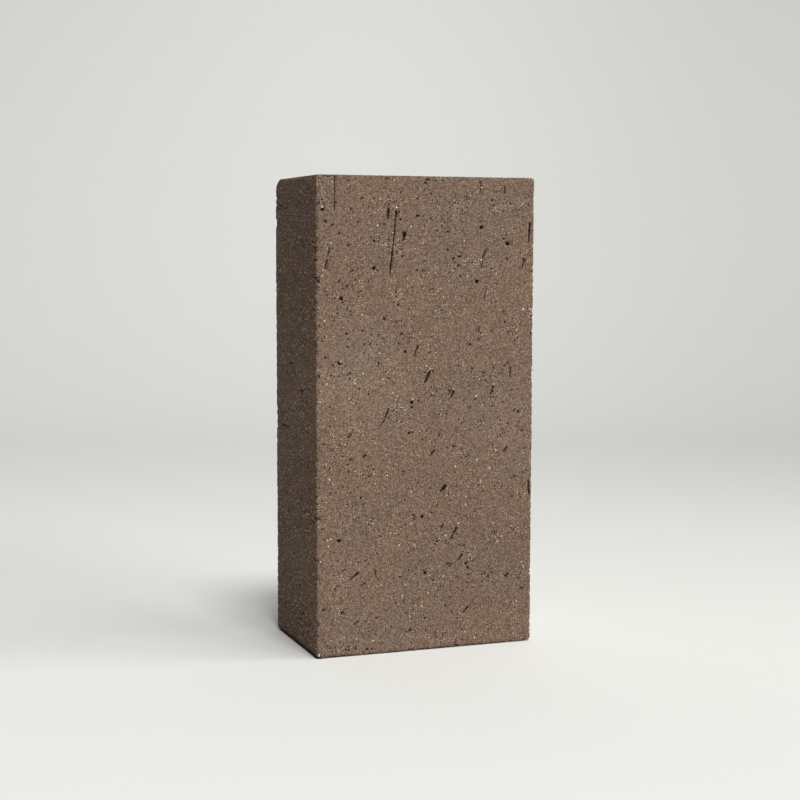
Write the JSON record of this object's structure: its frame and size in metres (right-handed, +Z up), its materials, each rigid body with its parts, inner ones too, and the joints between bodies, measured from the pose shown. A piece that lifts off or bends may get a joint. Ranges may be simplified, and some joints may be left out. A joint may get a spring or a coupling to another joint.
{
  "type": "clay paver",
  "caption": "Solid fired-clay paver with two wire-cut faces marked by furrows and pits, die-formed narrow sides, rounded arrises and one worn corner; stands on its end.",
  "frame": {"origin": "middle of the end that the paver stands on, at floor level", "axes": "+X along the width of the wire-cut faces, +Y along the thickness, away from the marked wire-cut face, +Z up along the length"},
  "size_m": [0.1, 0.06, 0.205],
  "materials": {
    "fired_clay": "matt, unglazed"
  },
  "bodies": {
    "root": {"paver": "fired_clay"}
  },
  "joints": []
}
